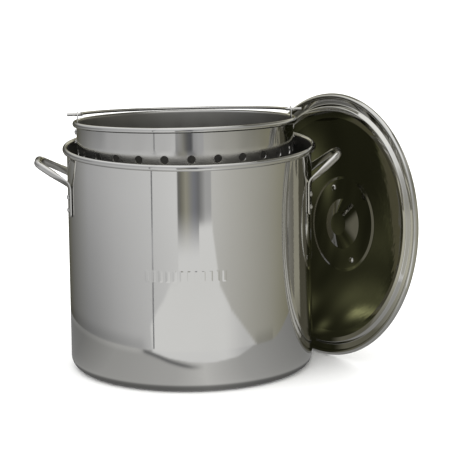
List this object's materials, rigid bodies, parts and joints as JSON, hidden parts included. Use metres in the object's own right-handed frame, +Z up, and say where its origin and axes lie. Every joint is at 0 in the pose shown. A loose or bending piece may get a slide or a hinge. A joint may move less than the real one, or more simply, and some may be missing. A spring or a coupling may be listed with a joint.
{
  "type": "turkey fryer kit",
  "caption": "Large stainless steel stockpot with riveted loop handles, a perforated lift-out basket with a wire bail, and a domed lid standing beside it.",
  "frame": {"origin": "centre of the underside of the pot's base, on the surface that the kit stands on", "axes": "+Z up along the pot's axis; -Y is the front; +X is the side with the lid, and the pot's handles lie along X"},
  "size_m": [0.5898, 0.4257, 0.4157],
  "materials": {
    "mirror_steel": "mirror-polished stainless sheet",
    "satin_steel": "tumbled stainless tube and rivets, soft polish",
    "wire_steel": "drawn stainless wire, bright"
  },
  "bodies": {
    "pot": {"pot_shell": "mirror_steel", "pot_handle_left": "satin_steel", "pot_handle_right": "satin_steel", "pot_left_rivet_a_lower": "satin_steel", "pot_left_rivet_a_upper": "satin_steel", "pot_left_rivet_b_lower": "satin_steel", "pot_left_rivet_b_upper": "satin_steel", "pot_right_rivet_a_lower": "satin_steel", "pot_right_rivet_a_upper": "satin_steel", "pot_right_rivet_b_lower": "satin_steel", "pot_right_rivet_b_upper": "satin_steel"},
    "basket": {"basket_shell": "mirror_steel", "basket_ear_left": "satin_steel", "basket_ear_right": "satin_steel", "basket_left_rivet_lower": "satin_steel", "basket_left_rivet_upper": "satin_steel", "basket_right_rivet_lower": "satin_steel", "basket_right_rivet_upper": "satin_steel"},
    "bail": {"basket_bail": "wire_steel"},
    "lid": {"lid_shell": "mirror_steel", "lid_handle": "satin_steel", "lid_rivet_lower": "satin_steel", "lid_rivet_upper": "satin_steel"}
  },
  "joints": [
    {"name": "basket_lift", "type": "slide", "parent": "pot", "child": "basket", "axis": [0, 0, 1], "range_m": [0, 0.42]},
    {"name": "bail_swing", "type": "hinge", "parent": "basket", "child": "bail", "pos_m": [-0.00657, 0.01499, 0.39876], "axis": [0.9984, 0.0557, 0.0037], "range_deg": [0, 180]},
    {"name": "lid_lift", "type": "slide", "parent": "pot", "child": "lid", "axis": [0.575, 0.4116, 0.7071], "range_m": [0, 0.35]}
  ]
}
